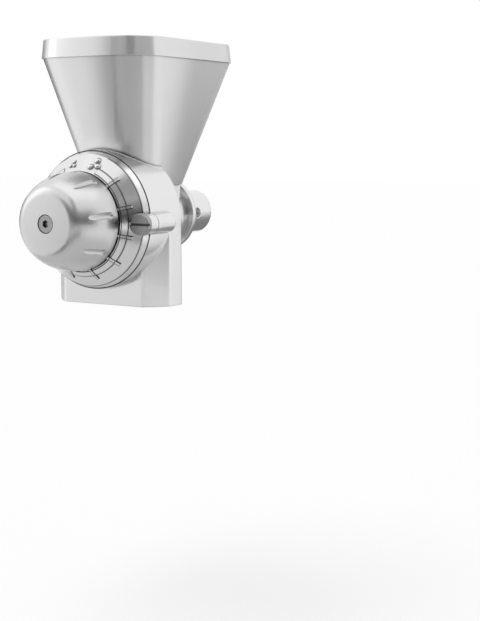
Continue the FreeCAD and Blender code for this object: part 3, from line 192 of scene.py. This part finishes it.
# Rubber rings: the seal round the shaft and the ring that keeps the knob from turning by itself.
# Both are moulded and sit in grooves, held by their own stretch.
# Moulded rubber is near black and matt, with a slightly uneven sheen from the mould's skin.
RUBBER_SKIN_MM = 0.8
rubber = start_material("Moulded black rubber")
rubber_tree = rubber.node_tree
rubber_place = add(rubber_tree, "TexCoord").outputs["Object"]
skin = add(rubber_tree, "TexNoise", {"Scale": 1000 / RUBBER_SKIN_MM},
           {"Vector": rubber_place}).outputs["Fac"]
sheen = add(rubber_tree, "MapRange", {"To Min": 0.55, "To Max": 0.75}, {"Value": skin}).outputs["Result"]
rubber_surface = add(rubber_tree, "BsdfPrincipled", {"Base Color": colour("#1A1A1A")}, {"Roughness": sheen})
add(rubber_tree, "OutputMaterial", None, {"Surface": rubber_surface.outputs["BSDF"]})
for node in ("dust_seal", "friction_ring"):
    dress(node, rubber)

# Burrs: the fixed ring, screwed to the housing's wall, and the disc that turns against it.
# Both are cast iron, hardened, and ground on their furrowed faces.
# Hardening leaves a dark grey, slightly rough skin.
iron = metal("Hardened burr iron", "#7C7C80", roughness=0.42, spread=0.07,
             fleck_mm=(0.9, 0.9, 0.9), bump=0.12)
for node in ("stationary_burr", "rotating_burr"):
    dress(node, iron)

# Feed worm: a steel screw with one deep flight, which runs in the feed tube.
# It is cast, tumbled smooth and keyed to the shaft.
# Tumbling gives an even grey with soft, broad highlights.
worm = metal("Tumbled worm steel", "#9C9CA0", roughness=0.45, spread=0.07,
             fleck_mm=(1.4, 1.4, 1.4), bump=0.10)
dress("feed_worm", worm)

# Turned steel: the shaft with its key and pin, the adjusting stem, the locating pin and all the screws.
# They are turned or cut from bar; the front screws are slotted and the knob's screw has a hexagon socket.
# Turned steel is a little darker than the castings. Its tool marks are drawn at 0.5 mm, so that they show.
steel = metal("Turned steel", "#A6A6A6", roughness=0.33, spread=0.06,
              fleck_mm=(1.5, 0.5, 1.5), bump=0.06, crease_shade=0.3)
for node in ("drive_shaft", "worm_key", "burr_drive_pin", "stationary_burr_screws", "hub_locating_pin",
             "adjusting_screw", "front_screws", "knob_screw"):
    dress(node, steel)

# Shaft retaining ring: an open ring of spring steel.
# It is stamped, hardened and oiled, and snaps into a groove of the shaft.
# The oil darkens it and leaves a dull sheen.
spring = metal("Oiled spring steel", "#6E6E74", roughness=0.40, spread=0.06,
               fleck_mm=(0.8, 0.8, 0.8), bump=0.05)
dress("shaft_retaining_ring", spring)

# Thrust ball: a bearing ball between the shaft's nose and the adjusting stem.
# It is hardened steel, ground and lapped, and lies loose in its two seats.
# Lapping makes it the brightest and smoothest piece.
ground = metal("Ground bearing steel", "#C4C4C8", roughness=0.12, spread=0.03,
               fleck_mm=(1.0, 1.0, 1.0), bump=0.02)
dress("thrust_ball", ground)

# Front plate: the dished cover that closes the housing and carries the dial's ticks.
# It is cast in the body's aluminium and polished the same way, and two slotted screws hold it by its lugs.
# Its finer edges stay crisp, and thin dark lines of painted shade, where the raised band, rim and ticks meet
# the plate, draw the dial.
plate_metal = cast.copy()
plate_metal.name = "Satin-polished cast aluminium with dial lines"
plate_tree = plate_metal.node_tree
plate_tree.nodes["Bevel"].inputs["Radius"].default_value = CRISP_EDGE
# The plate's creases get deeper painted shade than the body's.
PLATE_CREASE = 0.25
plate_tree.nodes["Crease"].inputs["To Min"].default_value = PLATE_CREASE
plate_place = add(plate_tree, "TexCoord").outputs["Object"]
flat_place = add(plate_tree, "VectorMath", {"operation": "MULTIPLY", 1: (1, 0, 1)},
                 {0: plate_place}).outputs[0]
from_axis = add(plate_tree, "VectorMath", {"operation": "LENGTH"}, {0: flat_place}).outputs["Value"]
plate_xyz = add(plate_tree, "SeparateXYZ", None, {"Vector": plate_place})
# Rings: both sides of the dial's band, and the corner at the plate's rim.
BAND_RADII, LINE_HALF = (0.0368, 0.0403, 0.0479), 0.0005
dark = None
for radius in BAND_RADII:
    offset = add(plate_tree, "Math", {"operation": "SUBTRACT", 1: radius}, {0: from_axis}).outputs[0]
    away = add(plate_tree, "Math", {"operation": "ABSOLUTE"}, {0: offset}).outputs[0]
    ring_line = add(plate_tree, "MapRange", {"From Min": LINE_HALF, "From Max": 0.0}, {"Value": away})
    line = ring_line.outputs["Result"]
    if dark is not None:
        line = add(plate_tree, "Math", {"operation": "MAXIMUM"}, {0: dark, 1: line}).outputs[0]
    dark = line
# Ticks: a line along each side of every tick, one tick in the middle of each step round the axis.
TICK_STEP = math.radians(30)
TICK_HALF, TICK_END, TICK_LINE = 0.0011, 0.0434, 0.0006
off_tick = add(plate_tree, "Math", {"operation": "ARCTAN2"},
               {0: plate_xyz.outputs["Z"], 1: plate_xyz.outputs["X"]}).outputs[0]
for operation, amount in (("DIVIDE", TICK_STEP), ("FRACT", 0), ("SUBTRACT", 0.5), ("MULTIPLY", TICK_STEP)):
    off_tick = add(plate_tree, "Math", {"operation": operation, 1: amount}, {0: off_tick}).outputs[0]
off_side = add(plate_tree, "Math", {"operation": "MULTIPLY"}, {0: off_tick, 1: from_axis}).outputs[0]
for operation, amount in (("ABSOLUTE", 0), ("SUBTRACT", TICK_HALF), ("ABSOLUTE", 0)):
    off_side = add(plate_tree, "Math", {"operation": operation, 1: amount}, {0: off_side}).outputs[0]
side_line = add(plate_tree, "MapRange", {"From Min": TICK_LINE, "From Max": 0.0},
                {"Value": off_side}).outputs["Result"]
within = add(plate_tree, "Math", {"operation": "LESS_THAN", 1: TICK_END}, {0: from_axis}).outputs[0]
tick_line = add(plate_tree, "Math", {"operation": "MULTIPLY"}, {0: side_line, 1: within}).outputs[0]
dark = add(plate_tree, "Math", {"operation": "MAXIMUM"}, {0: dark, 1: tick_line}).outputs[0]
# The band stops short of the dots at the top: its lines fade out between these shares of height to radius.
DOTS_BELOW, DOTS_ABOVE = 0.925, 0.935
height = add(plate_tree, "Math", {"operation": "DIVIDE"},
             {0: plate_xyz.outputs["Z"], 1: from_axis}).outputs[0]
below_dots = add(plate_tree, "MapRange", {"From Min": DOTS_ABOVE, "From Max": DOTS_BELOW},
                 {"Value": height}).outputs["Result"]
dial_shade_lines = add(plate_tree, "Math", {"operation": "MULTIPLY"}, {0: dark, 1: below_dots}).outputs[0]
# Painted shade: the dial's lines turn the plate dark grey.
mark(plate_metal, dial_shade_lines, "#4A4A4A")
dress("front_plate", plate_metal)

# Dial dots: three large and three small raised dots on the plate's cone, for coarse and fine.
# They are cast with the plate, so they ride on the same body and share its metal.
PLATE_RIM = (0.048, -0.1015)
PLATE_FACE = (0.036, -0.113)
LARGE_DOT, SMALL_DOT, DOT_RISE = 0.0024, 0.0016, 0.85
DOT_RINGS, DOT_SIDES = 5, 20
# Each dot's distance from the axis, its angle from the right in degrees, and its radius.
dots = [(0.0444, 75, LARGE_DOT), (0.0412, 71, LARGE_DOT), (0.0396, 78, LARGE_DOT),
        (0.0428, 101, SMALL_DOT), (0.0399, 99, SMALL_DOT), (0.0402, 104, SMALL_DOT)]
cone_run = Vector((PLATE_FACE[0] - PLATE_RIM[0], PLATE_FACE[1] - PLATE_RIM[1]))
cone_out = Vector((-cone_run.y, cone_run.x)).normalized()
axis_back = Vector((0, 1, 0))
points, faces = [], []
for from_centre, angle, size in dots:
    share = (from_centre - PLATE_RIM[0]) / cone_run.x
    depth = PLATE_RIM[1] + share * cone_run.y
    turn = math.radians(angle)
    radial = Vector((math.cos(turn), 0, math.sin(turn)))
    around = Vector((-math.sin(turn), 0, math.cos(turn)))
    out = radial * cone_out.x + axis_back * cone_out.y
    slope = out.cross(around)
    centre = radial * from_centre + axis_back * depth
    first = len(points)
    for ring in range(DOT_RINGS + 1):
        lift = ring / DOT_RINGS * math.pi / 2
        for side in range(DOT_SIDES):
            sweep = side / DOT_SIDES * 2 * math.pi
            flat = (around * math.cos(sweep) + slope * math.sin(sweep)) * size * math.cos(lift)
            points.append(centre + flat + out * size * DOT_RISE * math.sin(lift))
    for ring in range(DOT_RINGS):
        low = first + ring * DOT_SIDES
        for side in range(DOT_SIDES):
            near = low + side
            far = low + (side + 1) % DOT_SIDES
            faces.append((near, far, far + DOT_SIDES, near + DOT_SIDES))
dot_mesh = bpy.data.meshes.new("dial_dots")
dot_mesh.from_pydata(points, [], faces)
dot_mesh.shade_smooth()
dot_mesh.materials.append(plate_metal)
dial_dots = bpy.data.objects.new("dial_dots", dot_mesh)
bpy.context.scene.collection.objects.link(dial_dots)
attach(dial_dots, "frame")

# Adjusting knob: a domed aluminium shell with finger flutes.
# It is cast, turned and satin-finished, and the socket screw in its face clamps it to the stem.
# The satin turning spreads light into soft gradients. Its marks are drawn at 0.4 mm, so that they show.
knob_metal = metal("Satin-turned aluminium", "#D6D6D6", roughness=0.32, spread=0.03,
                   fleck_mm=(2.0, 0.4, 2.0), bump=0.03)
dress("knob", knob_metal)

# Studio paper: a white sheet lies well below the mill, which is shown as it hangs in use.
# Grey cards on the floor and upright round the mill give the metal its dark bands.
# The camera doesn't see the cards, and they cast no shadow.
FLOOR_DROP, FLOOR_HALF = 0.30, 9.0
CARD_LEVEL = 0.01 - FLOOR_DROP


def seen_directly(tree):
    """1 for rays that come from the eye or by way of a reflection, and 0 for the light on matt surfaces."""
    path = add(tree, "LightPath")
    seen = path.outputs["Is Camera Ray"]
    for ray in ("Is Glossy Ray", "Is Transmission Ray"):
        seen = add(tree, "Math", {"operation": "MAXIMUM"}, {0: seen, 1: path.outputs[ray]}).outputs[0]
    return seen


def paper(name, code, lift=0.0):
    """Matt paper; lift is the light that the eye and the metal see it give, so that white looks white."""
    material = start_material(name)
    tree = material.node_tree
    matt = add(tree, "BsdfDiffuse", {"Color": colour(code)})
    strength = add(tree, "Math", {"operation": "MULTIPLY", 1: lift}, {0: seen_directly(tree)}).outputs[0]
    glow = add(tree, "Emission", {"Color": colour(code)}, {"Strength": strength})
    both = add(tree, "AddShader", None, {0: matt.outputs["BSDF"], 1: glow.outputs["Emission"]})
    add(tree, "OutputMaterial", None, {"Surface": both.outputs["Shader"]})
    return material


def card(name, corners, material):
    """A flat sheet with the given corners, in order round its edge."""
    mesh = bpy.data.meshes.new(name)
    mesh.from_pydata(corners, [], [range(len(corners))])
    mesh.materials.append(material)
    flat = bpy.data.objects.new(name, mesh)
    bpy.context.scene.collection.objects.link(flat)
    return flat


floor_corners = [(x, y, -FLOOR_DROP) for x, y in ((-FLOOR_HALF, -FLOOR_HALF), (FLOOR_HALF, -FLOOR_HALF),
                                                  (FLOOR_HALF, FLOOR_HALF), (-FLOOR_HALF, FLOOR_HALF))]
card("floor", floor_corners, paper("White paper", "#F6F6F6", lift=0.33))
dark_paper = paper("Dark grey paper", "#484848")
middle_paper = paper("Mid grey paper", "#969696")
light_paper = paper("Light grey paper", "#AEAEAE")
pale_paper = paper("Pale paper", "#F2F2F2")
bright_paper = paper("Off-white paper", "#F2F2F2", lift=0.12)
flat_cards = [
    ("front left card", dark_paper, [(-0.52, -1.08), (-0.12, -1.18), (-0.06, -0.56), (-0.30, -0.52)]),
    ("front card", light_paper, [(-0.12, -1.18), (0.06, -1.20), (0.55, -1.05), (0.85, -0.79), (1.08, -0.31),
                                 (0.50, -0.24), (0.38, -0.46), (0.08, -0.57), (-0.06, -0.56)]),
    ("under card", pale_paper, [(-0.50, -0.20), (-0.30, -0.52), (-0.06, -0.56), (0.08, -0.57), (0.38, -0.46),
                                (0.50, -0.24), (0.50, 0.25), (-0.50, 0.25)]),
    ("side card", bright_paper, [(-0.58, -1.20), (-0.90, -1.00), (-2.20, -2.50), (-1.40, -2.95)]),
    ("rear card", middle_paper, [(0.20, 0.29), (2.39, 4.40), (-2.10, 4.50), (-0.10, 0.29)])]
upper_corners = [(0.63, -1.28, 0.68), (1.08, -0.89, 0.68), (0.64, -0.57, 1.27), (0.37, -0.80, 1.27)]
cards = [(name, [(x, y, CARD_LEVEL) for x, y in corners], material)
         for name, material, corners in flat_cards]
cards.append(("upper card", upper_corners, light_paper))
# Upright cards follow these lines, as seen from above, and each reaches from its foot to its top.
FRONT_WALL = [(-0.70, -1.90), (0.10, -1.96), (1.50, -1.22), (1.90, 0.35)]
LEFT_WALL = [(-1.30, 0.00), (-0.95, 0.85)]
wall_bands = [(FRONT_WALL, -0.16, 0.40, dark_paper), (FRONT_WALL, 0.40, 0.90, light_paper),
              (LEFT_WALL, CARD_LEVEL, -0.08, bright_paper), (LEFT_WALL, -0.08, 0.30, middle_paper)]
for line, foot, top, material in wall_bands:
    for start, end in zip(line, line[1:]):
        corners = [(*start, foot), (*end, foot), (*end, top), (*start, top)]
        cards.append(("wall card %d" % len(cards), corners, material))
for name, corners, material in cards:
    reflected = card(name, corners, material)
    reflected.visible_camera = False
    reflected.visible_diffuse = False
    reflected.visible_shadow = False

# Studio light: a white room all round, two softboxes that only the metal shows, and a diffused ceiling.
# The ceiling lights the floor and gives the mill its soft shadow.
ROOM_ON_MATT, ROOM_SEEN = 0.50, 1.0
world = bpy.data.worlds.new("studio")
bpy.context.scene.world = world
world.use_nodes = True
room = world.node_tree
room.nodes.clear()
brightness = add(room, "MapRange", {"To Min": ROOM_ON_MATT, "To Max": ROOM_SEEN},
                 {"Value": seen_directly(room)}).outputs["Result"]
air = add(room, "Background", {"Color": colour("#FFFFFF")}, {"Strength": brightness})
add(room, "OutputWorld", None, {"Surface": air.outputs["Background"]})


def softbox(name, place, aim, width, height, watts):
    """An area light at place that faces aim."""
    light = bpy.data.lights.new(name, "AREA")
    light.shape = "RECTANGLE"
    light.size = width
    light.size_y = height
    light.energy = watts
    lamp = bpy.data.objects.new(name, light)
    lamp.location = place
    lamp.rotation_euler = (Vector(aim) - Vector(place)).to_track_quat("-Z", "Y").to_euler()
    lamp.visible_diffuse = False
    bpy.context.scene.collection.objects.link(lamp)


softbox("overhead softbox", place=(0.1, 0.3, 1.6), aim=(0, -0.05, 0), width=2.2, height=1.8, watts=4.0)
softbox("left softbox", place=(-1.2, -0.7, 0.7), aim=(0, -0.08, 0.03), width=0.9, height=1.2, watts=2.0)
CEILING_STRENGTH, CEILING_SPREAD, CEILING_TILT = 0.8, 40, (12, -14, 0)
sky_light = bpy.data.lights.new("diffused ceiling", "SUN")
sky_light.energy = CEILING_STRENGTH
sky_light.angle = math.radians(CEILING_SPREAD)
sky = bpy.data.objects.new("diffused ceiling", sky_light)
sky.rotation_euler = [math.radians(tilt) for tilt in CEILING_TILT]
sky.visible_glossy = False
bpy.context.scene.collection.objects.link(sky)

# Camera: fitted to the photograph's view, from the right of the knob and a little above.
LENS_MM, SENSOR_MM = 74.06, 36.0
CAMERA_PLACE = (0.56121, -0.84784, 0.05804)
CAMERA_DOWN, CAMERA_TURN = 7.62, 30.2
lens = bpy.data.cameras.new("camera")
lens.sensor_width = SENSOR_MM
lens.lens = LENS_MM
camera = bpy.data.objects.new("camera", lens)
camera.location = CAMERA_PLACE
camera.rotation_euler = (math.radians(90 - CAMERA_DOWN), 0, math.radians(CAMERA_TURN))
bpy.context.scene.collection.objects.link(camera)
bpy.context.scene.camera = camera
bpy.context.scene.view_settings.view_transform = "Standard"
